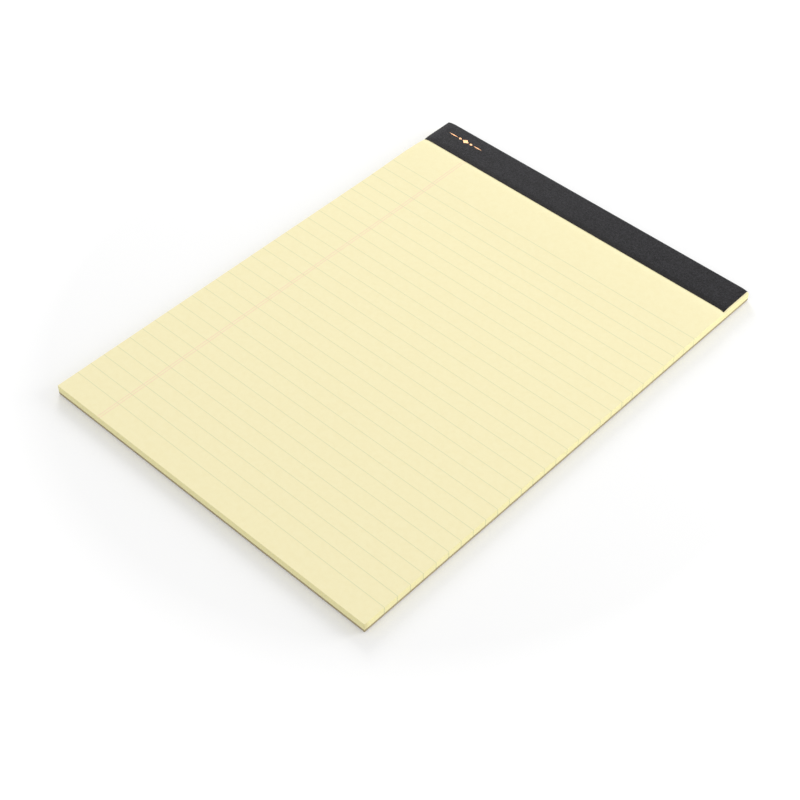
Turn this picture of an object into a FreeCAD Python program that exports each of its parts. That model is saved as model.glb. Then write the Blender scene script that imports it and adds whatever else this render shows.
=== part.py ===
import FreeCAD, Part
import os
import Sketcher

# A ruled legal pad that lies flat with its first sheet up.
# X runs across the pad, +Y points to its bound head and +Z points up.
# The origin is the middle of the footprint, on the surface that the pad lies on.

# Driving sizes, in millimetres
SIZES = (
    ("pad_width", 215.9),
    ("sheet_length", 298.45),
    ("sheet_count", 50),
    ("sheet_caliper", 0.089),
    ("binding_swell", 0.85),
    ("swell_run", 60),
    ("head_round", 1.6),
    ("board_thickness", 1.52),
    ("board_round", 0.6),
    ("tape_thickness", 0.25),
    ("glue_line", 0.03),
    ("front_flap", 22.2),
    ("back_flap", 22.2),
    ("wire_diameter", 0.55),
    ("wire_clearance", 0.05),
    ("wire_bend", 0.8),
    ("stitch_crown", 12.7),
    ("stitch_clinch", 5),
    ("stitch_setback", 9.5),
    ("stitch_inset", 25.4),
)

# The stitches, from left to right, in equal steps between the two outer ones
STITCH_NAMES = ("wire_stitch_1", "wire_stitch_2", "wire_stitch_3", "wire_stitch_4")
STITCH_STEPS = len(STITCH_NAMES) - 1

# Heights above the surface that the pad lies on
BOARD_BOTTOM = "(Sizes.tape_thickness + Sizes.glue_line)"
BOARD_TOP = f"({BOARD_BOTTOM} + Sizes.board_thickness)"
LOOSE_STACK = "(Sizes.sheet_count * Sizes.sheet_caliper)"
BOUND_STACK = f"({LOOSE_STACK} + Sizes.binding_swell)"
BOUND_TOP = f"({BOARD_TOP} + {BOUND_STACK})"
TAPE_TOP = f"({BOUND_TOP} + Sizes.glue_line + Sizes.tape_thickness)"

# Places across the pad, from its middle
FIRST_STITCH = "(Sizes.stitch_inset - Sizes.pad_width / 2)"
STITCH_STEP = f"((Sizes.pad_width - 2 * Sizes.stitch_inset) / {STITCH_STEPS})"

# Places along the pad, from the foot of the sheets
TAPE_HEAD = "(Sizes.sheet_length + Sizes.glue_line + Sizes.tape_thickness)"
STITCH_LINE = "(Sizes.sheet_length - Sizes.stitch_setback)"
SWELL_TOP = "(Sizes.sheet_length - Sizes.front_flap)"
SWELL_FOOT = f"({SWELL_TOP} - Sizes.swell_run)"

# The foot of the sheets, from the middle of the footprint
FOOT = f"(-{TAPE_HEAD} / 2)"

NEAR = 1e-4

doc = FreeCAD.newDocument("legal_pad")
sizes = doc.addObject("Spreadsheet::Sheet", "Sizes")
for row, (alias, number) in enumerate(SIZES, start=1):
    sizes.set(f"A{row}", alias)
    sizes.set(f"B{row}", str(number))
    sizes.setAlias(f"B{row}", alias)
doc.recompute()


def value(expression):
    """The number that an expression of the driving sizes comes to."""
    return float(sizes.evalExpression(expression))


def point(across, up):
    return FreeCAD.Vector(value(across), value(up), 0)


def new_sketch(body, plane, name):
    """A sketch on one of the body's own origin planes."""
    sketch = body.newObject("Sketcher::SketchObject", name)
    origin_plane = next(item for item in body.Origin.OriginFeatures if item.Role == plane)
    sketch.AttachmentSupport = [(origin_plane, "")]
    sketch.MapMode = "FlatFace"
    return sketch


def bind(sketch, kind, name, expression, *places):
    """Adds a named dimension to the sketch and ties it to the driving sizes."""
    sketch.renameConstraint(
        sketch.addConstraint(Sketcher.Constraint(kind, *places, value(expression))), name
    )
    sketch.setExpression(f"Constraints.{name}", expression)


def relate(sketch, kind, *places):
    sketch.addConstraint(Sketcher.Constraint(kind, *places))


def add_outline(sketch, corners):
    """Draws a closed outline of straight lines, each corner tied to two expressions."""
    ends = corners[1:] + corners[:1]
    lines = [
        sketch.addGeometry(Part.LineSegment(point(*start), point(*end)))
        for start, end in zip(corners, ends)
    ]
    for number, (line, (across, up)) in enumerate(zip(lines, corners)):
        relate(sketch, "Coincident", lines[number - 1], 2, line, 1)
        bind(sketch, "DistanceX", f"across_{number}", across, line, 1)
        bind(sketch, "DistanceY", f"up_{number}", up, line, 1)


def pad_across(body, sketch, name):
    """Carries a side outline across the whole width of the pad."""
    pad = body.newObject("PartDesign::Pad", name)
    pad.Profile = sketch
    pad.SideType = "Symmetric"
    pad.setExpression("Length", "Sizes.pad_width")
    sketch.Visibility = False
    doc.recompute()
    return pad


def round_edge(body, base, name, along, up, radius):
    """Rounds the edge that runs across the pad at one place of the side outline."""
    corner = FreeCAD.Vector(0, value(along), value(up))
    names = [
        f"Edge{number}"
        for number, edge in enumerate(base.Shape.Edges, start=1)
        if (edge.CenterOfMass - corner).Length < NEAR
    ]
    fillet = body.newObject("PartDesign::Fillet", name)
    fillet.Base = (base, names)
    fillet.setExpression("Radius", radius)
    doc.recompute()
    return fillet


def place(item, across, along, up):
    item.setExpression("Placement.Base.x", across)
    item.setExpression("Placement.Base.y", along)
    item.setExpression("Placement.Base.z", up)


# The stack of sheets, seen from its right side: level over most of its length, with a
# gentle rise of two equal arcs to the stub that the stitches and the tape hold
def build_stack():
    body = doc.addObject("PartDesign::Body", "sheet_stack")
    sketch = new_sketch(body, "YZ_Plane", "stack_side")
    foot_bottom = point("0", "0")
    foot_top = point("0", LOOSE_STACK)
    rise_foot = point(SWELL_FOOT, LOOSE_STACK)
    rise_top = point(SWELL_TOP, BOUND_STACK)
    head_top = point("Sizes.sheet_length", BOUND_STACK)
    head_bottom = point("Sizes.sheet_length", "0")
    rise_middle = (rise_foot + rise_top) / 2
    rise = rise_top - rise_foot
    radius = rise.dot(rise) / (4 * rise.y)
    lower_centre = rise_foot + FreeCAD.Vector(0, radius, 0)
    upper_centre = rise_top - FreeCAD.Vector(0, radius, 0)

    def arc_point(centre, start, end):
        half_way = (start + end) / 2 - centre
        return centre + half_way.normalize() * radius

    foot = sketch.addGeometry(Part.LineSegment(foot_bottom, foot_top))
    level = sketch.addGeometry(Part.LineSegment(foot_top, rise_foot))
    lower = sketch.addGeometry(
        Part.Arc(rise_foot, arc_point(lower_centre, rise_foot, rise_middle), rise_middle)
    )
    upper = sketch.addGeometry(
        Part.Arc(rise_middle, arc_point(upper_centre, rise_middle, rise_top), rise_top)
    )
    stub = sketch.addGeometry(Part.LineSegment(rise_top, head_top))
    head = sketch.addGeometry(Part.LineSegment(head_top, head_bottom))
    base = sketch.addGeometry(Part.LineSegment(head_bottom, foot_bottom))
    # The lower arc runs from the level part up, the upper arc from the stub down,
    # because both are stored anticlockwise
    relate(sketch, "Coincident", foot, 2, level, 1)
    relate(sketch, "Tangent", level, 2, lower, 1)
    relate(sketch, "Tangent", lower, 2, upper, 2)
    relate(sketch, "Tangent", upper, 1, stub, 1)
    relate(sketch, "Coincident", stub, 2, head, 1)
    relate(sketch, "Coincident", head, 2, base, 1)
    relate(sketch, "Coincident", base, 2, foot, 1)
    relate(sketch, "Coincident", foot, 1, -1, 1)
    relate(sketch, "Vertical", foot)
    relate(sketch, "Vertical", head)
    relate(sketch, "Horizontal", level)
    relate(sketch, "Horizontal", stub)
    relate(sketch, "Horizontal", base)
    relate(sketch, "Equal", lower, upper)
    bind(sketch, "DistanceY", "loose_stack", LOOSE_STACK, foot, 2)
    bind(sketch, "DistanceX", "rise_start", SWELL_FOOT, level, 2)
    bind(sketch, "DistanceX", "rise_end", SWELL_TOP, stub, 1)
    bind(sketch, "DistanceY", "bound_stack", BOUND_STACK, stub, 1)
    bind(sketch, "DistanceX", "length", "Sizes.sheet_length", head, 1)
    pad = pad_across(body, sketch, "stack_pad")
    round_edge(body, pad, "head_rounding", "Sizes.sheet_length", BOUND_STACK, "Sizes.head_round")
    place(body, "0", FOOT, BOARD_TOP)
    return body


# The board under the sheets, cut with them, so that all four edges line up
def build_board():
    body = doc.addObject("PartDesign::Body", "board_blank")
    sketch = new_sketch(body, "YZ_Plane", "board_side")
    add_outline(
        sketch,
        [
            ("0", "0"),
            ("0", "Sizes.board_thickness"),
            ("Sizes.sheet_length", "Sizes.board_thickness"),
            ("Sizes.sheet_length", "0"),
        ],
    )
    pad = pad_across(body, sketch, "board_pad")
    round_edge(body, pad, "board_rounding", "Sizes.sheet_length", "0", "Sizes.board_round")
    place(body, "0", FOOT, BOARD_BOTTOM)
    return body


# The tape: one strip, glued over the head of the pad from the first sheet round to the
# back of the board, with its folds rounded as the edges under it are
def build_tape():
    body = doc.addObject("PartDesign::Body", "binding_tape")
    sketch = new_sketch(body, "YZ_Plane", "tape_side")
    inner_head = "(Sizes.sheet_length + Sizes.glue_line)"
    inner_top = f"({TAPE_TOP} - Sizes.tape_thickness)"
    inner_bottom = "Sizes.tape_thickness"
    front_edge = "(Sizes.sheet_length - Sizes.front_flap)"
    back_edge = "(Sizes.sheet_length - Sizes.back_flap)"
    add_outline(
        sketch,
        [
            (back_edge, "0"),
            (TAPE_HEAD, "0"),
            (TAPE_HEAD, TAPE_TOP),
            (front_edge, TAPE_TOP),
            (front_edge, inner_top),
            (inner_head, inner_top),
            (inner_head, inner_bottom),
            (back_edge, inner_bottom),
        ],
    )
    pad = pad_across(body, sketch, "tape_pad")
    inner_fold = "Sizes.head_round + Sizes.glue_line"
    inner_turn = "Sizes.board_round + Sizes.glue_line"
    folds = (
        ("inner_fold", inner_head, inner_top, inner_fold),
        ("outer_fold", TAPE_HEAD, TAPE_TOP, f"{inner_fold} + Sizes.tape_thickness"),
        ("inner_turn", inner_head, inner_bottom, inner_turn),
        ("outer_turn", TAPE_HEAD, "0", f"{inner_turn} + Sizes.tape_thickness"),
    )
    base = pad
    for name, along, up, radius in folds:
        base = round_edge(body, base, name, along, up, radius)
    place(body, "0", FOOT, "0")


# A wire bent round a crown and two legs whose ends are clinched in towards each other.
# Its crown is level with the top of the stub, its clinched ends with the board's back
def build_wire(name, clearance, step):
    body = doc.addObject("PartDesign::Body", name)
    path = new_sketch(body, "XZ_Plane", f"{name}_path")
    drop = f"({BOUND_TOP} - {BOARD_BOTTOM} - Sizes.wire_diameter)"
    leg = "(Sizes.stitch_crown / 2)"
    tip = f"({leg} - Sizes.stitch_clinch - {clearance})"
    corners = [
        point(f"-{tip}", f"-{drop}"),
        point(f"-{leg}", f"-{drop}"),
        point(f"-{leg}", "0"),
        point(leg, "0"),
        point(leg, f"-{drop}"),
        point(tip, f"-{drop}"),
    ]
    bend = value("Sizes.wire_bend")
    runs = []
    start = corners[0]
    bends = []
    for before, corner, after in zip(corners, corners[1:], corners[2:]):
        back = (before - corner).normalize() * bend
        onward = (after - corner).normalize() * bend
        centre = corner + back + onward
        middle = centre + (corner - centre).normalize() * bend
        runs.append(path.addGeometry(Part.LineSegment(start, corner + back)))
        bends.append(path.addGeometry(Part.Arc(corner + back, middle, corner + onward)))
        start = corner + onward
    runs.append(path.addGeometry(Part.LineSegment(start, corners[-1])))
    # Every bend turns clockwise along the wire, so each arc is stored from its far end
    for number, arc in enumerate(bends):
        relate(path, "Tangent", runs[number], 2, arc, 2)
        relate(path, "Tangent", arc, 1, runs[number + 1], 1)
    for arc in bends[1:]:
        relate(path, "Equal", bends[0], arc)
    left_clinch, left_leg, crown, right_leg, right_clinch = runs
    for level_run in (left_clinch, crown, right_clinch):
        relate(path, "Horizontal", level_run)
    for upright in (left_leg, right_leg):
        relate(path, "Vertical", upright)
    bind(path, "Radius", "bend", "Sizes.wire_bend", bends[0])
    bind(path, "DistanceX", "left_tip", f"-{tip}", left_clinch, 1)
    bind(path, "DistanceY", "left_depth", f"-{drop}", left_clinch, 1)
    bind(path, "DistanceX", "left_leg", f"-{leg}", left_leg, 1)
    bind(path, "DistanceY", "crown_level", "0", crown, 1)
    bind(path, "DistanceX", "right_leg", leg, right_leg, 1)
    bind(path, "DistanceX", "right_tip", tip, right_clinch, 2)
    bind(path, "DistanceY", "right_depth", f"-{drop}", right_clinch, 2)
    section = new_sketch(body, "YZ_Plane", f"{name}_section")
    section.setExpression("AttachmentOffset.Base.z", f"-{tip}")
    circle = section.addGeometry(Part.Circle(point("0", f"-{drop}"), FreeCAD.Vector(0, 0, 1), 1))
    bind(section, "DistanceX", "section_across", "0", circle, 3)
    bind(section, "DistanceY", "section_up", f"-{drop}", circle, 3)
    radius = f"Sizes.wire_diameter / 2 + {clearance}"
    bind(section, "Radius", "section_radius", radius, circle)
    doc.recompute()
    pipe = body.newObject("PartDesign::AdditivePipe", f"{name}_pipe")
    pipe.Profile = section
    pipe.Spine = (path, [f"Edge{number}" for number in range(1, len(runs) + len(bends) + 1)])
    place(
        body,
        f"{FIRST_STITCH} + {step} * {STITCH_STEP}",
        f"{FOOT} + {STITCH_LINE}",
        f"{BOUND_TOP} - Sizes.wire_diameter / 2",
    )
    return body


def pierce(blank, channels, label):
    """Takes the channels that the stitches make out of the sheets or the board."""
    pierced = doc.addObject("Part::Cut", label)
    pierced.Base = blank
    pierced.Tool = channels
    return pierced


# Each wire lies in a channel of its own form, a little wider all round
channel_bodies = []
for step, name in enumerate(STITCH_NAMES):
    build_wire(name, "0", step)
    channel_bodies.append(build_wire(f"{name}_channel", "Sizes.wire_clearance", step))
channels = doc.addObject("Part::Compound", "stitch_channels")
channels.Links = channel_bodies
pierce(build_stack(), channels, "ruled_sheets")
pierce(build_board(), channels, "backing_board")
build_tape()
doc.recompute()

# Every object has to be built, and every piece has to be a sound solid, before any is written
for item in doc.Objects:
    if "Invalid" in item.State or "Error" in item.State:
        raise SystemExit(f"{item.Label} was not built")
pieces = [doc.getObject(name) for name in ("ruled_sheets", "backing_board", "binding_tape")]
pieces += [doc.getObject(name) for name in STITCH_NAMES]
for piece in pieces:
    if piece.Shape.isNull() or not piece.Shape.isValid():
        raise SystemExit(f"{piece.Label} is not a sound solid")

os.makedirs("parts", exist_ok=True)
for piece in pieces:
    piece.Shape.exportStep(f"parts/{piece.Label}.step")
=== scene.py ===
import math
import random

import bmesh
import bpy
from mathutils import Matrix, Vector


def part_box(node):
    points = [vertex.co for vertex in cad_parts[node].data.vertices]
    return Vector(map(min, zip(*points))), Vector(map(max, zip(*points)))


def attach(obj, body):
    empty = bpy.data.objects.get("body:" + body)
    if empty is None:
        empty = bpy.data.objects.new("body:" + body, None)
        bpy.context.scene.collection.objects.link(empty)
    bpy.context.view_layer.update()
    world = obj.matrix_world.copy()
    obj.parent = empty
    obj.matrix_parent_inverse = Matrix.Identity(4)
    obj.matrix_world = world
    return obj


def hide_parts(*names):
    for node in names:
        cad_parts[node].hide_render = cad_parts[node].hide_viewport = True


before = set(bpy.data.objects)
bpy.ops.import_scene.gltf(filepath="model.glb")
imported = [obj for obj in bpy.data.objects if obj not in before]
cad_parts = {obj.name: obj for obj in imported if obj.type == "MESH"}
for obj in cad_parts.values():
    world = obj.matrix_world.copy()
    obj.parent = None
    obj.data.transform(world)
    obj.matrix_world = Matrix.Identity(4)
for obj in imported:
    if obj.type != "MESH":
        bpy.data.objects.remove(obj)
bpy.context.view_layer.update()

# The sheets: fifty leaves of canary writing paper, trimmed as one block, so that their edges
# show as fine ridges on all four sides. The stitches and the tape hold a stub at the head,
# which is a little thicker, so the first sheet rises to it in a long shallow curve.
MM = 0.001
TOUCH = 0.001 * MM
SHEETS_LOW, SHEETS_HIGH = (Vector(corner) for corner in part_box("ruled_sheets"))
TAPE_LOW, TAPE_HIGH = (Vector(corner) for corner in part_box("binding_tape"))
PAD_WIDTH = SHEETS_HIGH.x - SHEETS_LOW.x
SHEET_LENGTH = SHEETS_HIGH.y - SHEETS_LOW.y
SHEET_COUNT = 50
SHEET_CALIPER = 0.089 * MM
LOOSE_STACK = SHEET_COUNT * SHEET_CALIPER
BOUND_STACK = SHEETS_HIGH.z - SHEETS_LOW.z
SWELL_RUN = 60 * MM
SHEET_COLUMNS = 6
SHEET_ROWS = 96
HEAD_ROUND = 1.6 * MM
GROOVE_INSET = (0.05 * MM, 0.1 * MM)
RIDGE_INSET = (0, 0.05 * MM)
TRIM_SEED = 7
KNIFE_RUN = 5 * MM
KNIFE_LEAD = 15 * MM
KNIFE_DROP = 0.8 * MM
ROLLER_RUN = 4 * MM
ROLLER_DROP = 0.35 * MM
PRESS_STEPS = 4


def stack_height(y):
    """How thick the block of sheets is at one place along the pad."""
    along = (y - (TAPE_LOW.y - SWELL_RUN)) / SWELL_RUN
    along = min(max(along, 0), 1)
    rise = 2 * along ** 2 if along < 0.5 else 1 - 2 * (1 - along) ** 2
    return LOOSE_STACK + (BOUND_STACK - LOOSE_STACK) * rise


def first_sheet(y, lift=0):
    """The height of the first sheet's face, or of a film of ink that lies on it."""
    return SHEETS_LOW.z + stack_height(y) + lift


def press_head(shape):
    """Bends the bound head as the machines leave it. The trimming knife presses its two ends
    down, and the roller that lays the tape leaves a shallow dip along its lip."""
    cuts = [
        (
            Vector((side * (PAD_WIDTH / 2 - step * KNIFE_RUN / PRESS_STEPS), 0, 0)),
            Vector((side, 0, 0)),
        )
        for side in (-1, 1)
        for step in range(1, PRESS_STEPS + 1)
    ]
    cuts += [
        (Vector((0, TAPE_LOW.y + step * ROLLER_RUN / PRESS_STEPS, 0)), Vector((0, 1, 0)))
        for step in range(-PRESS_STEPS, PRESS_STEPS + 1)
    ]
    for spot, normal in cuts:
        geometry = list(shape.verts) + list(shape.edges) + list(shape.faces)
        bmesh.ops.bisect_plane(
            shape, geom=geometry, dist=TOUCH, plane_co=spot, plane_no=normal
        )
    for vert in shape.verts:
        out = 1 - (PAD_WIDTH / 2 - abs(vert.co.x)) / KNIFE_RUN
        along = (vert.co.y - TAPE_LOW.y) / KNIFE_LEAD + 1
        near = 1 - abs(vert.co.y - TAPE_LOW.y) / ROLLER_RUN
        up = (vert.co.z - SHEETS_LOW.z) / (BOUND_STACK - HEAD_ROUND)
        out, along, near, up = (min(max(share, 0), 1) for share in (out, along, near, up))
        vert.co.z -= KNIFE_DROP * out ** 2 * along * up ** 2
        vert.co.z -= ROLLER_DROP * near ** 2 * (3 - 2 * near) * up


def finish_piece(name, shape, material):
    """Makes a piece of a finished bmesh. It rides on the pad's one body."""
    mesh = bpy.data.meshes.new(name)
    shape.to_mesh(mesh)
    shape.free()
    mesh.materials.append(material)
    piece = bpy.data.objects.new(name, mesh)
    bpy.context.scene.collection.objects.link(piece)
    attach(piece, "root")
    return piece


def new_material(name):
    """A material with its node tree, its shader and a node that reads Object coordinates."""
    material = bpy.data.materials.new(name)
    material.use_nodes = True
    tree = material.node_tree
    place = tree.nodes.new("ShaderNodeTexCoord")
    return material, tree, tree.nodes["Principled BSDF"], place.outputs["Object"]


def add_node(tree, kind, links=(), **settings):
    """Adds a node. Settings that are sockets are set or linked, the others are properties."""
    node = tree.nodes.new(kind)
    for name, setting in settings.items():
        setattr(node, name, setting)
    for socket, source in links:
        if isinstance(source, bpy.types.NodeSocket):
            tree.links.new(source, node.inputs[socket])
        else:
            node.inputs[socket].default_value = source
    return node


def sums(tree, operation, first, second=0.0, third=0.0):
    """One step of arithmetic on values that change over the surface."""
    node = add_node(
        tree, "ShaderNodeMath", ((0, first), (1, second), (2, third)), operation=operation
    )
    return node.outputs[0]


def blend_colours(tree, share, first, second):
    """The first colour where the share is 0, and the second where it is 1."""
    node = add_node(tree, "ShaderNodeMix", data_type="RGBA")
    for socket, source in ((0, share), (6, first), (7, second)):
        if isinstance(source, bpy.types.NodeSocket):
            tree.links.new(source, node.inputs[socket])
        else:
            node.inputs[socket].default_value = source
    return node.outputs[2]


def noise(tree, where, scale, detail=3.0, roughness=0.55):
    """Soft cloudy noise from 0 to 1. The scale is in patches per metre."""
    node = add_node(
        tree,
        "ShaderNodeTexNoise",
        (("Vector", where), ("Scale", scale), ("Detail", detail), ("Roughness", roughness)),
    )
    return node.outputs["Fac"]


def stretched(tree, where, scale):
    """Object coordinates, scaled by its own amount along each axis."""
    return add_node(
        tree, "ShaderNodeMapping", (("Vector", where), ("Scale", scale))
    ).outputs[0]


def ramp(tree, value, low, high, start=0.0, end=1.0):
    """Spreads the range from low to high over the range from start to end, and holds it there."""
    node = add_node(
        tree,
        "ShaderNodeMapRange",
        (
            ("Value", value),
            ("From Min", low),
            ("From Max", high),
            ("To Min", start),
            ("To Max", end),
        ),
    )
    return node.outputs[0]


def srgb(red, green, blue):
    """A colour as it is read off a screen, 0 to 255, as the linear colour that nodes take."""

    def linear(level):
        share = level / 255
        return share / 12.92 if share <= 0.04045 else ((share + 0.055) / 1.055) ** 2.4

    return (linear(red), linear(green), linear(blue), 1.0)


def pulp_group():
    """Paper pulp: cloudy patches, short fibres that lie both ways, and fine tooth."""
    group = bpy.data.node_groups.new("pulp", "ShaderNodeTree")
    group.interface.new_socket("Vector", in_out="INPUT", socket_type="NodeSocketVector")
    cloud_size = group.interface.new_socket(
        "Clouds per metre", in_out="INPUT", socket_type="NodeSocketFloat"
    )
    cloud_size.default_value = 350
    fibre_size = group.interface.new_socket(
        "Fibres per metre", in_out="INPUT", socket_type="NodeSocketFloat"
    )
    fibre_size.default_value = 1200
    for name in ("Clouds", "Fibres", "Tooth"):
        group.interface.new_socket(name, in_out="OUTPUT", socket_type="NodeSocketFloat")
    start = group.nodes.new("NodeGroupInput")
    end = group.nodes.new("NodeGroupOutput")
    where = start.outputs["Vector"]
    along_pad = noise(group, stretched(group, where, (3.5, 0.6, 1)), start.outputs[2], 2)
    across_pad = noise(group, stretched(group, where, (0.6, 3.5, 1)), start.outputs[2], 2)
    fibres = sums(group, "MULTIPLY", sums(group, "ADD", along_pad, across_pad), 0.5)
    group.links.new(noise(group, where, start.outputs[1], 5, 0.6), end.inputs["Clouds"])
    group.links.new(fibres, end.inputs["Fibres"])
    group.links.new(noise(group, where, 7000.0, 2), end.inputs["Tooth"])
    return group


PULP = pulp_group()
RULE_PITCH = 8.731 * MM
RULE_COUNT = 28
RULE_WIDTH = 0.4 * MM
LAST_RULE = SHEETS_LOW.y + 13.0 * MM
FIRST_RULE = LAST_RULE + (RULE_COUNT - 1) * RULE_PITCH
RULE_STRAY = 0.12 * MM
PAPER = srgb(252, 243, 198)
PAPER_CLOUD = srgb(250, 240, 193)
PAPER_EDGE = srgb(254, 249, 201)
PAPER_GAP = srgb(250, 242, 190)
RULE_INK = srgb(229, 228, 186)
RULE_MARK = srgb(208, 213, 176)


def paper_material():
    """Canary paper: cloudy faces, and cut edges with a streak and ink marks to each sheet."""
    material, tree, shader, where = new_material("canary paper")
    pulp = add_node(tree, "ShaderNodeGroup", node_tree=PULP)
    tree.links.new(where, pulp.inputs["Vector"])
    normal = add_node(tree, "ShaderNodeNewGeometry").outputs["Normal"]
    facing = add_node(tree, "ShaderNodeSeparateXYZ", ((0, normal),)).outputs
    at = add_node(tree, "ShaderNodeSeparateXYZ", ((0, where),)).outputs
    clouds = ramp(tree, pulp.outputs["Clouds"], 0.35, 0.7)
    face = blend_colours(tree, clouds, PAPER, PAPER_CLOUD)
    # The cut edges: one streak to a sheet, some sheets paler and some deeper
    streaks = noise(tree, stretched(tree, where, (25, 25, 1 / SHEET_CALIPER)), 1.0, 2)
    bundles = noise(tree, stretched(tree, where, (6, 6, 900)), 1.0, 2)
    depth = sums(
        tree,
        "ADD",
        ramp(tree, streaks, 0.3, 0.75, 0, 0.6),
        ramp(tree, bundles, 0.4, 0.8, 0, 0.4),
    )
    edge = blend_colours(tree, depth, PAPER_EDGE, PAPER_GAP)
    # Each rule runs off its sheet, so its ink marks the side edges, never quite in line
    sheet = noise(tree, stretched(tree, where, (1, 1, 1 / SHEET_CALIPER)), 1.0, 0)
    printed = sums(tree, "ADD", at["Y"], ramp(tree, sheet, 0.25, 0.75, -RULE_STRAY, RULE_STRAY))
    steps = sums(tree, "DIVIDE", sums(tree, "SUBTRACT", printed, LAST_RULE), RULE_PITCH)
    nearest = sums(tree, "ABSOLUTE", sums(tree, "SUBTRACT", steps, sums(tree, "ROUND", steps)))
    half_rule = 0.5 * RULE_WIDTH / RULE_PITCH
    mark = ramp(tree, nearest, half_rule, 1.6 * half_rule, 1, 0)
    ruled = sums(
        tree,
        "MULTIPLY",
        sums(tree, "GREATER_THAN", steps, -0.5),
        sums(tree, "LESS_THAN", steps, RULE_COUNT - 0.5),
    )
    sideways = ramp(tree, sums(tree, "ABSOLUTE", facing["X"]), 0.5, 0.6)
    mark = sums(tree, "MULTIPLY", sums(tree, "MULTIPLY", mark, ruled), sideways)
    mark = sums(tree, "MULTIPLY", mark, ramp(tree, streaks, 0.3, 0.6, 0.5, 0.9))
    edge = blend_colours(tree, mark, edge, RULE_MARK)
    level = ramp(tree, sums(tree, "ABSOLUTE", facing["Z"]), 0.8, 0.95)
    tree.links.new(blend_colours(tree, level, edge, face), shader.inputs["Base Color"])
    tree.links.new(
        ramp(tree, pulp.outputs["Fibres"], 0.3, 0.7, 0.78, 0.9), shader.inputs["Roughness"]
    )
    shader.inputs["Specular IOR Level"].default_value = 0.25
    relief = sums(tree, "MULTIPLY_ADD", pulp.outputs["Tooth"], 0.5, pulp.outputs["Fibres"])
    bump = add_node(
        tree, "ShaderNodeBump", (("Height", relief), ("Strength", 0.25), ("Distance", 0.03 * MM))
    )
    tree.links.new(bump.outputs[0], shader.inputs["Normal"])
    return material


def bake_map(shape, top, under, sides):
    """Lays out a block's faces in the unit square. Each place is a corner and a size there."""
    layer = shape.loops.layers.uv.new("OFBake")
    for face in shape.faces:
        normal = face.normal
        for loop in face.loops:
            at = loop.vert.co
            across = (at.x - SHEETS_LOW.x) / PAD_WIDTH
            along = (at.y - SHEETS_LOW.y) / SHEET_LENGTH
            down = (first_sheet(at.y) - at.z) / stack_height(at.y)
            if abs(normal.z) > 0.9:
                place = top if normal.z > 0 else under
                spot = (across, along)
            elif abs(normal.x) > abs(normal.y):
                place = sides[0] if normal.x > 0 else sides[1]
                spot = (along, down)
            else:
                place = sides[2] if normal.y > 0 else sides[3]
                spot = (across, down)
            left, low, wide, tall = place
            loop[layer].uv = (left + wide * spot[0], low + tall * spot[1])


def settle(shape):
    """Lifts a flat stack to its place, along the rise to the stub, and shapes its head."""
    for vert in shape.verts:
        share = vert.co.z / LOOSE_STACK
        vert.co.z = SHEETS_LOW.z + share * stack_height(vert.co.y)
        above_round = vert.co.z - (SHEETS_HIGH.z - HEAD_ROUND)
        if above_round > 0:
            reach = math.sqrt(max(HEAD_ROUND ** 2 - above_round ** 2, 0))
            vert.co.y = min(vert.co.y, SHEETS_HIGH.y - HEAD_ROUND + reach)
    press_head(shape)
    bmesh.ops.recalc_face_normals(shape, faces=shape.faces)


def sheet_face(height):
    """One smooth face of the pad's outline, with enough rows for the rise to the stub."""
    shape = bmesh.new()
    bmesh.ops.create_grid(shape, x_segments=SHEET_COLUMNS, y_segments=SHEET_ROWS, size=0.5)
    bmesh.ops.scale(shape, vec=(PAD_WIDTH, SHEET_LENGTH, 1), verts=shape.verts)
    middle = (SHEETS_LOW.y + SHEETS_HIGH.y) / 2
    bmesh.ops.translate(shape, vec=(0, middle, height), verts=shape.verts)
    for face in shape.faces:
        face.smooth = True
    for edge in shape.edges:
        edge.smooth = not edge.is_boundary
    return shape


def sheet_block(height, chance):
    """The leaves under the first one. Each is a ridge, with a shallow groove under it."""
    block = sheet_face(height)
    ring = [edge for edge in block.edges if edge.is_boundary]
    middle = Vector((0, (SHEETS_LOW.y + SHEETS_HIGH.y) / 2, 0))
    width = PAD_WIDTH
    length = SHEET_LENGTH
    for step in range(2 * (SHEET_COUNT - 1)):
        grown = bmesh.ops.extrude_edge_only(block, edges=ring)["geom"]
        ring = [item for item in grown if isinstance(item, bmesh.types.BMEdge)]
        corners = [item for item in grown if isinstance(item, bmesh.types.BMVert)]
        inset = chance.uniform(*(GROOVE_INSET if step % 2 == 0 else RIDGE_INSET))
        new_width = PAD_WIDTH - 2 * inset
        new_length = SHEET_LENGTH - 2 * inset
        bmesh.ops.scale(
            block,
            vec=(new_width / width, new_length / length, 1),
            space=Matrix.Translation(-middle),
            verts=corners,
        )
        bmesh.ops.translate(block, vec=(0, 0, -SHEET_CALIPER / 2), verts=corners)
        width = new_width
        length = new_length
    bmesh.ops.contextual_create(block, geom=ring)
    return block


PAPER_LOOK = paper_material()
leaf = sheet_face(LOOSE_STACK)
under = bmesh.ops.extrude_face_region(leaf, geom=list(leaf.faces))["geom"]
sunk = [item for item in under if isinstance(item, bmesh.types.BMVert)]
bmesh.ops.translate(leaf, vec=(0, 0, -SHEET_CALIPER), verts=sunk)
settle(leaf)
bake_map(
    leaf,
    top=(0.005, 0.005, 0.71, 0.99),
    under=(0.75, 0.01, 0.22, 0.3),
    sides=(
        (0.75, 0.34, 0.2, 0.6),
        (0.75, 0.44, 0.2, 0.6),
        (0.75, 0.54, 0.2, 0.6),
        (0.75, 0.64, 0.2, 0.6),
    ),
)
first_leaf = finish_piece("first_sheet", leaf, PAPER_LOOK)
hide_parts("ruled_sheets")

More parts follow.
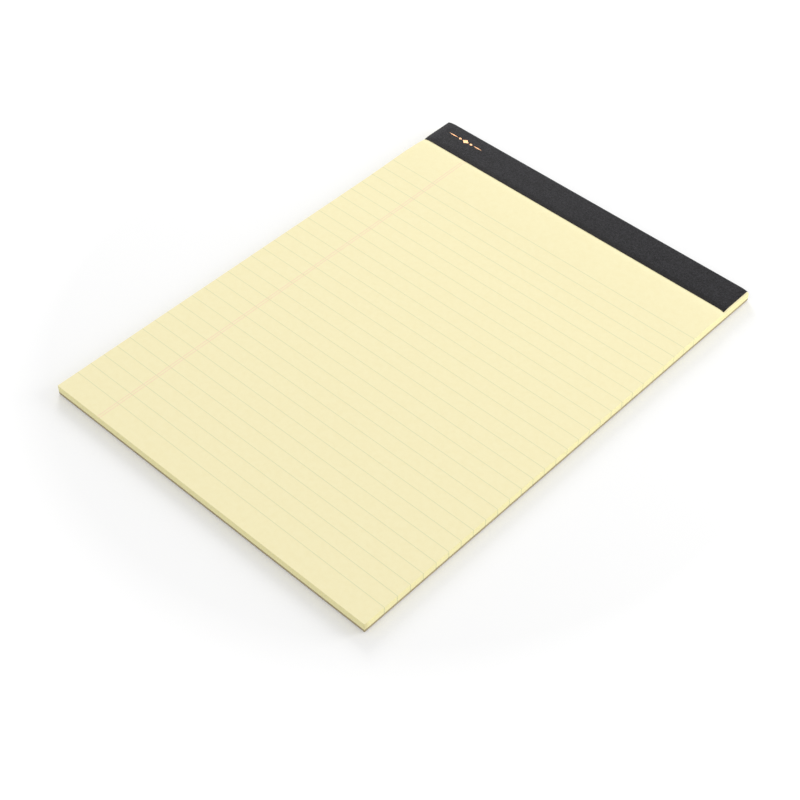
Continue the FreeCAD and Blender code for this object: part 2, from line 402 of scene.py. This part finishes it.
block = sheet_block(LOOSE_STACK - SHEET_CALIPER, random.Random(TRIM_SEED))
settle(block)
bake_map(
    block,
    top=(0.74, 0.01, 0.1, 0.2),
    under=(0.88, 0.01, 0.1, 0.2),
    sides=(
        (0.01, 0.77, 0.98, 0.22),
        (0.01, 0.52, 0.98, 0.22),
        (0.01, 0.27, 0.71, 0.22),
        (0.01, 0.02, 0.71, 0.22),
    ),
)
leaves = finish_piece("sheet_block", block, PAPER_LOOK)
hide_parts("ruled_sheets")


# The ruling: pale blue-green rules at the wide pitch, printed from edge to edge, and a faint
# double margin line down the left. Each line is a film of ink on the first sheet.
INK_FILM = 0.02 * MM
INK_DEPTH = 0.04 * MM
MARGIN = SHEETS_LOW.x + 31.75 * MM
MARGIN_GAP = 1.5 * MM
MARGIN_WIDTH = 0.3 * MM
MARGIN_ROWS = 80
MARGIN_INK = srgb(252, 218, 196)


def ink_material(name, ink, paper):
    """Ink that lets a little of the paper through where its film is thin."""
    material, tree, shader, where = new_material(name)
    pulp = add_node(tree, "ShaderNodeGroup", node_tree=PULP)
    tree.links.new(where, pulp.inputs["Vector"])
    thin = ramp(tree, pulp.outputs["Tooth"], 0.45, 0.75, 0, 0.5)
    tree.links.new(blend_colours(tree, thin, ink, paper), shader.inputs["Base Color"])
    tree.links.new(
        ramp(tree, pulp.outputs["Fibres"], 0.3, 0.7, 0.7, 0.85), shader.inputs["Roughness"]
    )
    shader.inputs["Specular IOR Level"].default_value = 0.25
    return material


def add_film(shape, middle, size, steps, lift):
    """Adds one printed line: a strip that follows the first sheet, with a thin closed edge."""
    made = bmesh.ops.create_grid(shape, x_segments=1, y_segments=steps, size=0.5)["verts"]
    bmesh.ops.scale(shape, vec=(size.x, size.y, 1), verts=made)
    bmesh.ops.translate(shape, vec=middle, verts=made)
    for vert in made:
        vert.co.z = first_sheet(vert.co.y, lift)
    faces = list({face for vert in made for face in vert.link_faces})
    under = bmesh.ops.extrude_face_region(shape, geom=faces)["geom"]
    sunk = [item for item in under if isinstance(item, bmesh.types.BMVert)]
    bmesh.ops.translate(shape, vec=(0, 0, -INK_DEPTH), verts=sunk)


rules = bmesh.new()
for number in range(RULE_COUNT):
    middle = Vector((0, FIRST_RULE - number * RULE_PITCH, 0))
    add_film(rules, middle, Vector((PAD_WIDTH, RULE_WIDTH)), 1, INK_FILM)
bmesh.ops.recalc_face_normals(rules, faces=rules.faces)
finish_piece(
    "printed_rules", rules, ink_material("rule ink", RULE_INK, PAPER)
)

margins = bmesh.new()
margin_length = TAPE_LOW.y - SHEETS_LOW.y
margin_middle = (TAPE_LOW.y + SHEETS_LOW.y) / 2
for side in (-0.5, 0.5):
    middle = Vector((MARGIN + side * MARGIN_GAP, margin_middle, 0))
    size = Vector((MARGIN_WIDTH, margin_length))
    add_film(margins, middle, size, MARGIN_ROWS, 1.5 * INK_FILM)
press_head(margins)
bmesh.ops.recalc_face_normals(margins, faces=margins.faces)
finish_piece(
    "printed_margin", margins, ink_material("margin ink", MARGIN_INK, PAPER)
)


# The backing board: sixty point chipboard, pressed from waste pulp and trimmed with the
# sheets. Its cut edges are darker and show its layers, and its corners are a little crushed.
BOARD_LOW, BOARD_HIGH = (Vector(corner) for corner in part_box("backing_board"))
BOARD_ROUND = 0.6 * MM
BOARD_CRUSH = 0.12 * MM
BOARD = srgb(168, 153, 127)
BOARD_PALE = srgb(188, 174, 148)
BOARD_FLECK = srgb(104, 92, 78)
BOARD_SCRAP = srgb(206, 198, 182)
BOARD_EDGE = srgb(168, 153, 119)
BOARD_LAYER = srgb(192, 178, 143)
EDGE_LAYERS_PER_METRE = 6000


def chipboard_material():
    """Grey-brown board with fibres, pale scraps and dark flecks, and layers on its edges."""
    material, tree, shader, where = new_material("chipboard")
    pulp = add_node(tree, "ShaderNodeGroup", node_tree=PULP)
    pulp.inputs["Clouds per metre"].default_value = 60
    pulp.inputs["Fibres per metre"].default_value = 700
    tree.links.new(where, pulp.inputs["Vector"])
    normal = add_node(tree, "ShaderNodeNewGeometry").outputs["Normal"]
    facing = add_node(tree, "ShaderNodeSeparateXYZ", ((0, normal),)).outputs
    mottle = noise(tree, where, 1400.0, 4, 0.7)
    face = blend_colours(tree, ramp(tree, mottle, 0.35, 0.65), BOARD, BOARD_PALE)
    shade = ramp(tree, pulp.outputs["Clouds"], 0.3, 0.7, 0, 0.3)
    face = blend_colours(tree, shade, face, BOARD_EDGE)
    hairs = ramp(tree, pulp.outputs["Fibres"], 0.58, 0.66, 0, 0.5)
    face = blend_colours(tree, hairs, face, BOARD_PALE)
    scraps = noise(tree, stretched(tree, where, (1.6, 0.7, 1)), 620.0, 1)
    face = blend_colours(tree, ramp(tree, scraps, 0.69, 0.72, 0, 0.8), face, BOARD_SCRAP)
    flecks = ramp(tree, noise(tree, where, 1100.0, 1), 0.7, 0.74, 0, 0.8)
    face = blend_colours(tree, flecks, face, BOARD_FLECK)
    layers = noise(tree, stretched(tree, where, (200, 200, EDGE_LAYERS_PER_METRE)), 1.0, 2)
    edge = blend_colours(tree, ramp(tree, layers, 0.35, 0.7), BOARD_EDGE, BOARD_LAYER)
    level = ramp(tree, sums(tree, "ABSOLUTE", facing["Z"]), 0.7, 0.95)
    tree.links.new(blend_colours(tree, level, edge, face), shader.inputs["Base Color"])
    tree.links.new(
        ramp(tree, pulp.outputs["Clouds"], 0.3, 0.7, 0.8, 0.92), shader.inputs["Roughness"]
    )
    shader.inputs["Specular IOR Level"].default_value = 0.3
    relief = sums(tree, "MULTIPLY_ADD", pulp.outputs["Tooth"], 0.4, pulp.outputs["Fibres"])
    bump = add_node(
        tree, "ShaderNodeBump", (("Height", relief), ("Strength", 0.5), ("Distance", 0.08 * MM))
    )
    tree.links.new(bump.outputs[0], shader.inputs["Normal"])
    return material


board = bmesh.new()
bmesh.ops.create_cube(board, size=1)
bmesh.ops.scale(board, vec=BOARD_HIGH - BOARD_LOW, verts=board.verts)
bmesh.ops.translate(board, vec=(BOARD_LOW + BOARD_HIGH) / 2, verts=board.verts)
turned = [
    edge
    for edge in board.edges
    if all(
        abs(vert.co.y - BOARD_HIGH.y) + abs(vert.co.z - BOARD_LOW.z) < TOUCH
        for vert in edge.verts
    )
]
bmesh.ops.bevel(
    board,
    geom=turned,
    affect="EDGES",
    offset=BOARD_ROUND,
    segments=6,
    profile=0.5,
    material=-1,
)
crushed = [edge for edge in board.edges if edge.calc_face_angle(0) > 1]
bmesh.ops.bevel(
    board,
    geom=crushed,
    affect="EDGES",
    offset=BOARD_CRUSH,
    segments=2,
    profile=0.5,
    material=-1,
)
backing = finish_piece("chipboard_back", board, chipboard_material())
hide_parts("backing_board")


# The binding tape: one strip of charcoal paper tape with an embossed leather-like grain,
# glued over the stub, folded round the head and down over the back of the board.
TAPE_THICKNESS = 0.25 * MM
GLUE_LINE = 0.03 * MM
FRONT_FOLD = HEAD_ROUND + GLUE_LINE + TAPE_THICKNESS
BACK_FOLD = BOARD_ROUND + GLUE_LINE + TAPE_THICKNESS
TAPE_SHORT = 0.8 * MM
FOIL_FILM = 0.02 * MM
TAPE_FACE = TAPE_HIGH.z - FOIL_FILM
GRAIN_PER_METRE = 1500.0
PORES_PER_METRE = 4200.0
MOTTLE_PER_METRE = 1000.0
# Painted shade along the tape's lip: full this near the lip, and gone at the end
LIP_SHADE_FULL = 1 * MM
LIP_SHADE_END = 3.5 * MM
SHARP_TURN = math.radians(40)
TAPE = srgb(30, 29, 31)
# Painted shade in the valleys of the grain
TAPE_VALLEY_SHADE = srgb(13, 12, 14)
TAPE_SHEEN = srgb(58, 57, 62)
# Dark colour for the painted shade on the lip's face and along the lip
TAPE_LIP_SHADE = srgb(16, 12, 9)
TAPE_CORE = srgb(216, 208, 198)
# Worn tape, and a painted highlight on the turn over the head
TAPE_WORN_HIGHLIGHT = srgb(92, 90, 92)


def tape_material():
    """Embossed tape: pebbles parted by valleys darkened as painted shade, with pores, mottle, and
    worn turns that also carry a painted highlight.
    """
    material, tree, shader, where = new_material("embossed tape")
    wander = add_node(tree, "ShaderNodeTexNoise", (("Vector", where), ("Scale", 900.0)))
    drift = add_node(
        tree,
        "ShaderNodeVectorMath",
        ((0, wander.outputs["Color"]), (1, (0.3 * MM,) * 3), (2, where)),
        operation="MULTIPLY_ADD",
    ).outputs[0]
    cells = add_node(
        tree,
        "ShaderNodeTexVoronoi",
        (("Vector", drift), ("Scale", GRAIN_PER_METRE)),
        feature="DISTANCE_TO_EDGE",
    ).outputs["Distance"]
    pores = add_node(
        tree, "ShaderNodeTexVoronoi", (("Vector", drift), ("Scale", PORES_PER_METRE))
    ).outputs["Distance"]
    pebbles = ramp(tree, cells, 0.0, 0.3)
    patches = noise(tree, where, 60.0, 4)
    grain = sums(tree, "MULTIPLY_ADD", pores, 0.35, pebbles)
    mottle = ramp(tree, noise(tree, where, MOTTLE_PER_METRE, 2), 0.42, 0.62, 0, 0.65)
    colour = blend_colours(tree, mottle, TAPE, TAPE_SHEEN)
    # The valleys between the pebbles are darkened: painted shade in the hollows of the grain
    colour = blend_colours(tree, ramp(tree, cells, 0.0, 0.12), TAPE_VALLEY_SHADE, colour)
    # A band along the lip is darkened: painted shade where the lip's edge stands above the paper
    at = add_node(tree, "ShaderNodeSeparateXYZ", ((0, where),)).outputs
    from_lip = sums(tree, "SUBTRACT", at["Y"], TAPE_LOW.y)
    lip_shade = ramp(tree, from_lip, LIP_SHADE_FULL, LIP_SHADE_END, 0.6, 0)
    colour = blend_colours(tree, lip_shade, colour, TAPE_LIP_SHADE)
    # The turn over the head is worn where the pad is carried, on the tops of the grain. This
    # paler colour, picked by how the surface faces, is also a painted highlight along the fold
    normal = add_node(tree, "ShaderNodeNewGeometry").outputs["Normal"]
    facing = add_node(tree, "ShaderNodeSeparateXYZ", ((0, normal),)).outputs
    turn = sums(tree, "ABSOLUTE", sums(tree, "MULTIPLY", facing["Y"], facing["Z"]))
    worn_highlight = sums(tree, "MULTIPLY", ramp(tree, turn, 0.2, 0.5), ramp(tree, pebbles, 0.4, 1))
    worn_highlight = sums(tree, "MULTIPLY", worn_highlight, ramp(tree, patches, 0.35, 0.65, 0.1, 0.5))
    colour = blend_colours(tree, worn_highlight, colour, TAPE_WORN_HIGHLIGHT)
    # The slit lip's face towards the foot is painted dark as shade, and the trimmed ends show the
    # pale core of the strip
    colour = blend_colours(tree, ramp(tree, facing["Y"], -0.7, -0.9), colour, TAPE_LIP_SHADE)
    trimmed = ramp(tree, sums(tree, "ABSOLUTE", facing["X"]), 0.7, 0.9)
    colour = blend_colours(tree, trimmed, colour, TAPE_CORE)
    tree.links.new(colour, shader.inputs["Base Color"])
    rough = sums(tree, "MULTIPLY_ADD", patches, 0.12, ramp(tree, grain, 0.2, 1.2, 0.56, 0.42))
    tree.links.new(rough, shader.inputs["Roughness"])
    shader.inputs["Specular IOR Level"].default_value = 0.17
    bump = add_node(
        tree, "ShaderNodeBump", (("Height", grain), ("Strength", 0.9), ("Distance", 0.1 * MM))
    )
    tree.links.new(bump.outputs[0], shader.inputs["Normal"])
    return material


tape = bmesh.new()
section = [
    tape.verts.new((TAPE_LOW.x, along, up))
    for along, up in (
        (TAPE_LOW.y, TAPE_FACE),
        (TAPE_HIGH.y, TAPE_FACE),
        (TAPE_HIGH.y, TAPE_LOW.z),
        (TAPE_LOW.y, TAPE_LOW.z),
    )
]
edges = [tape.edges.new(pair) for pair in zip(section, section[1:])]
grown = bmesh.ops.extrude_edge_only(tape, edges=edges)["geom"]
moved = [item for item in grown if isinstance(item, bmesh.types.BMVert)]
bmesh.ops.translate(tape, vec=(PAD_WIDTH - TAPE_SHORT, 0, 0), verts=moved)
for height, radius in ((TAPE_FACE, FRONT_FOLD), (TAPE_LOW.z, BACK_FOLD)):
    folds = [
        edge
        for edge in tape.edges
        if all(
            abs(vert.co.y - TAPE_HIGH.y) + abs(vert.co.z - height) < TOUCH
            for vert in edge.verts
        )
    ]
    bmesh.ops.bevel(
        tape,
        geom=folds,
        affect="EDGES",
        offset=radius,
        segments=10,
        profile=0.5,
        material=-1,
    )
press_head(tape)
bmesh.ops.recalc_face_normals(tape, faces=tape.faces)
if tape.faces[0].normal.z < 0:
    bmesh.ops.reverse_faces(tape, faces=tape.faces)
bmesh.ops.solidify(tape, geom=list(tape.faces), thickness=-TAPE_THICKNESS)
bmesh.ops.recalc_face_normals(tape, faces=tape.faces)
for edge in tape.edges:
    edge.smooth = edge.calc_face_angle(0) < SHARP_TURN
for face in tape.faces:
    face.smooth = True
wrap = finish_piece("folded_tape", tape, tape_material())
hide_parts("binding_tape")


# The foil: a plain gold ornament, hot-stamped into the tape near its left end. It is a row
# of lozenges between two long needles.
FOIL_MIDDLE = Vector((SHEETS_LOW.x + 20.2 * MM, TAPE_HIGH.y - 9.0 * MM, TAPE_HIGH.z))
FOIL_SHAPES = (
    (0, 4.4, 3.4),
    (-4.2, 2.2, 1.7),
    (4.2, 2.2, 1.7),
    (-9.2, 6.6, 0.7),
    (9.2, 6.6, 0.7),
)
FOIL = srgb(222, 158, 112)
FOIL_BRIGHT = srgb(240, 194, 150)


def foil_material():
    """Stamped foil, a little patchy where it took the grain of the tape."""
    material, tree, shader, where = new_material("gold foil")
    patches = noise(tree, where, 900.0, 3)
    tree.links.new(
        blend_colours(tree, ramp(tree, patches, 0.35, 0.7), FOIL, FOIL_BRIGHT),
        shader.inputs["Base Color"],
    )
    tree.links.new(ramp(tree, patches, 0.3, 0.7, 0.3, 0.5), shader.inputs["Roughness"])
    shader.inputs["Metallic"].default_value = 0.9
    return material


foil = bmesh.new()
for offset, long, tall in FOIL_SHAPES:
    made = bmesh.ops.create_circle(foil, segments=4, radius=0.5, cap_ends=True)["verts"]
    bmesh.ops.scale(foil, vec=(long * MM, tall * MM, 1), verts=made)
    bmesh.ops.translate(
        foil, vec=FOIL_MIDDLE + Vector((offset * MM, 0, 0)), verts=made
    )
under = bmesh.ops.extrude_face_region(foil, geom=list(foil.faces))["geom"]
sunk = [item for item in under if isinstance(item, bmesh.types.BMVert)]
bmesh.ops.translate(foil, vec=(0, 0, -2 * FOIL_FILM), verts=sunk)
bmesh.ops.recalc_face_normals(foil, faces=foil.faces)
finish_piece("foil_ornament", foil, foil_material())


# The stitches: galvanised round wire, driven through stub and board and clinched. The tape
# hides them all, and they keep their own solids.
WIRE_SHADE = srgb(176, 177, 180)
WIRE_SHINE = srgb(202, 203, 206)


def wire_material():
    """Galvanised wire with fine drawing marks."""
    material, tree, shader, where = new_material("stitching wire")
    drawn = noise(tree, stretched(tree, where, (200, 4000, 4000)), 1.0, 3)
    tree.links.new(
        blend_colours(tree, drawn, WIRE_SHADE, WIRE_SHINE),
        shader.inputs["Base Color"],
    )
    tree.links.new(ramp(tree, drawn, 0.3, 0.7, 0.3, 0.45), shader.inputs["Roughness"])
    shader.inputs["Metallic"].default_value = 1.0
    return material


WIRE = wire_material()
for name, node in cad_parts.items():
    if name.startswith("wire_stitch"):
        node.data.materials.clear()
        node.data.materials.append(WIRE)


# The stage: a white floor that keeps the pad's shadow, and a white surround
FLOOR_SIDE = 8.0
FLOOR_DROP = 0.05 * MM
FLOOR = 0.86
NEAR_GLOW = 0.16
FAR_GLOW = 0.75
GLOW_START = 0.19
GLOW_END = 0.42
SURROUND_LIGHT = 0.72


def seen_directly(tree):
    """1 for what the camera sees, straight, mirrored or through glass, and 0 for light."""
    path = add_node(tree, "ShaderNodeLightPath").outputs
    seen = sums(tree, "ADD", path["Is Camera Ray"], path["Is Glossy Ray"])
    return sums(tree, "MINIMUM", sums(tree, "ADD", seen, path["Is Transmission Ray"]), 1)


def floor_material():
    """White ground that holds the shadow near the pad and fades to white away from it."""
    material, tree, shader, where = new_material("studio floor")
    shader.inputs["Base Color"].default_value = (FLOOR, FLOOR, FLOOR, 1)
    shader.inputs["Roughness"].default_value = 1.0
    shader.inputs["Specular IOR Level"].default_value = 0.0
    away = add_node(tree, "ShaderNodeVectorMath", ((0, where),), operation="LENGTH")
    glow = ramp(tree, away.outputs["Value"], GLOW_START, GLOW_END, NEAR_GLOW, FAR_GLOW)
    shader.inputs["Emission Color"].default_value = (1, 1, 1, 1)
    tree.links.new(
        sums(tree, "MULTIPLY", glow, seen_directly(tree)), shader.inputs["Emission Strength"]
    )
    return material


floor_shape = bmesh.new()
bmesh.ops.create_grid(floor_shape, x_segments=1, y_segments=1, size=FLOOR_SIDE / 2)
bmesh.ops.translate(floor_shape, vec=(0, 0, -FLOOR_DROP), verts=floor_shape.verts)
floor_mesh = bpy.data.meshes.new("floor")
floor_shape.to_mesh(floor_mesh)
floor_shape.free()
floor_mesh.materials.append(floor_material())
floor = bpy.data.objects.new("floor", floor_mesh)
bpy.context.scene.collection.objects.link(floor)

world = bpy.data.worlds.new("surround")
world.use_nodes = True
bpy.context.scene.world = world
backdrop = world.node_tree.nodes["Background"]
backdrop.inputs["Color"].default_value = (1, 1, 1, 1)
lit = seen_directly(world.node_tree)
world.node_tree.links.new(
    ramp(world.node_tree, lit, 0, 1, SURROUND_LIGHT, 1.0), backdrop.inputs["Strength"]
)


# The light: a large soft lamp behind the pad at its left, and a lower, weaker one behind it at
# its right. Most of the light comes evenly from the surround.
LAMPS = (
    ("key_softbox", Vector((-1.15, 0.9, 0.75)), 0.6, 9.0),
    ("side_softbox", Vector((0.8, 0.9, 0.42)), 0.7, 5.8),
)

for name, spot, side, watts in LAMPS:
    lamp_data = bpy.data.lights.new(name, "AREA")
    lamp_data.shape = "SQUARE"
    lamp_data.size = side
    lamp_data.energy = watts
    lamp = bpy.data.objects.new(name, lamp_data)
    lamp.location = spot
    lamp.rotation_euler = (-spot).to_track_quat("-Z", "Y").to_euler()
    bpy.context.scene.collection.objects.link(lamp)


# The camera: above the near right corner of the pad
CAMERA_AIM = Vector((21.5 * MM, -33.3 * MM, 0))
CAMERA_DISTANCE = 856.6 * MM
CAMERA_AZIMUTH = math.radians(42.7)
CAMERA_ELEVATION = math.radians(46.87)
CAMERA_ROLL = math.radians(0.42)
CAMERA_LENS = 75.68
SENSOR = 36

camera_data = bpy.data.cameras.new("camera")
camera_data.lens = CAMERA_LENS
camera_data.sensor_width = SENSOR
camera = bpy.data.objects.new("camera", camera_data)
level = math.cos(CAMERA_ELEVATION)
away = Vector(
    (
        math.sin(CAMERA_AZIMUTH) * level,
        -math.cos(CAMERA_AZIMUTH) * level,
        math.sin(CAMERA_ELEVATION),
    )
)
turn = away.to_track_quat("Z", "Y").to_matrix().to_4x4() @ Matrix.Rotation(CAMERA_ROLL, 4, "Z")
camera.matrix_world = Matrix.Translation(CAMERA_AIM + CAMERA_DISTANCE * away) @ turn
bpy.context.scene.collection.objects.link(camera)
bpy.context.scene.camera = camera
bpy.context.scene.view_settings.view_transform = "Standard"
